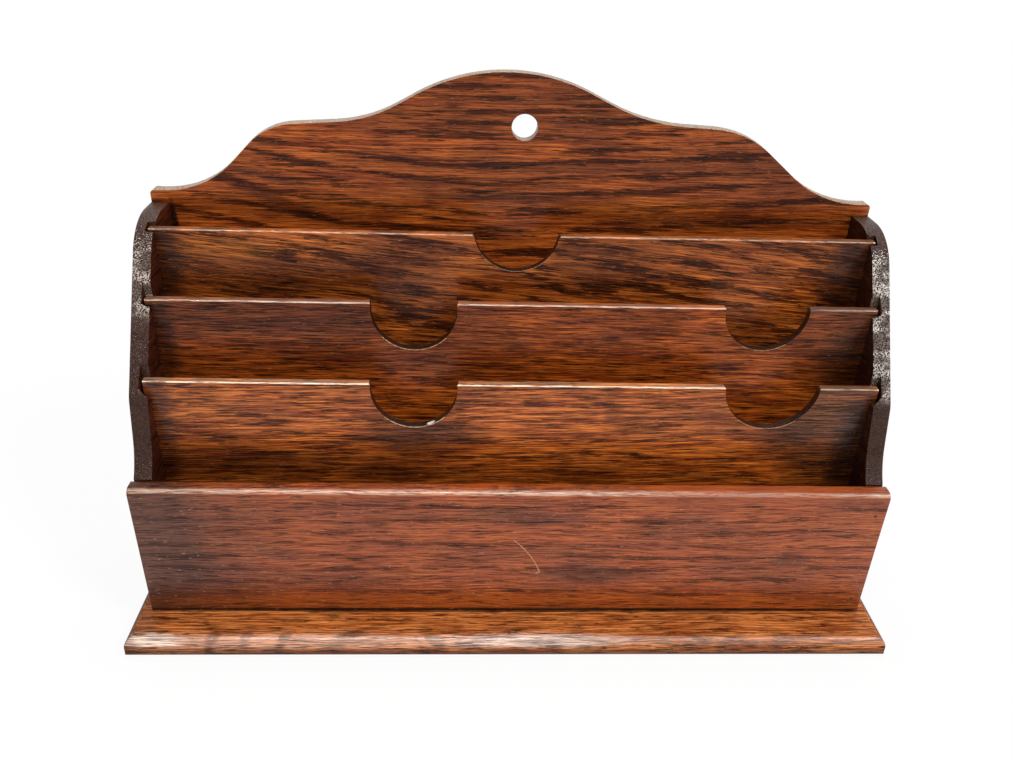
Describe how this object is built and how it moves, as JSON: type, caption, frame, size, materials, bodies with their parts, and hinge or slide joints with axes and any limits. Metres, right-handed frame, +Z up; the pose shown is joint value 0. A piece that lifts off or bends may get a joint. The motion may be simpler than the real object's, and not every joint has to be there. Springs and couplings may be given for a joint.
{
  "type": "letter rack",
  "caption": "Free-standing or wall-hung wooden letter rack: upright dividers with finger notches between sloped sides, a scrolled back board with a hanging hole and a moulded base.",
  "frame": {"origin": "on the table, below the middle of the base board", "axes": "+X to the right seen from the front, +Y to the back, +Z up"},
  "size_m": [0.346, 0.1104, 0.2362],
  "materials": {
    "oak_base": "stained oak, gloss varnish",
    "oak_back": "stained oak, gloss varnish",
    "oak_sides": "stained oak, gloss varnish",
    "oak_front": "stained oak, gloss varnish",
    "oak_dividers": "stained oak, gloss varnish",
    "steel_pins": "dull drawn wire",
    "wood_stopping": "dark filler under varnish"
  },
  "bodies": {
    "root": {"base_board": "oak_base", "back_board": "oak_back", "side_board_left": "oak_sides", "side_board_right": "oak_sides", "front_board": "oak_front", "divider_front": "oak_dividers", "divider_middle": "oak_dividers", "divider_rear": "oak_dividers", "front_board_pins": "steel_pins", "back_board_pins": "steel_pins", "base_pins": "steel_pins", "front_pin_stopping": "wood_stopping", "back_pin_stopping": "wood_stopping"}
  },
  "joints": []
}
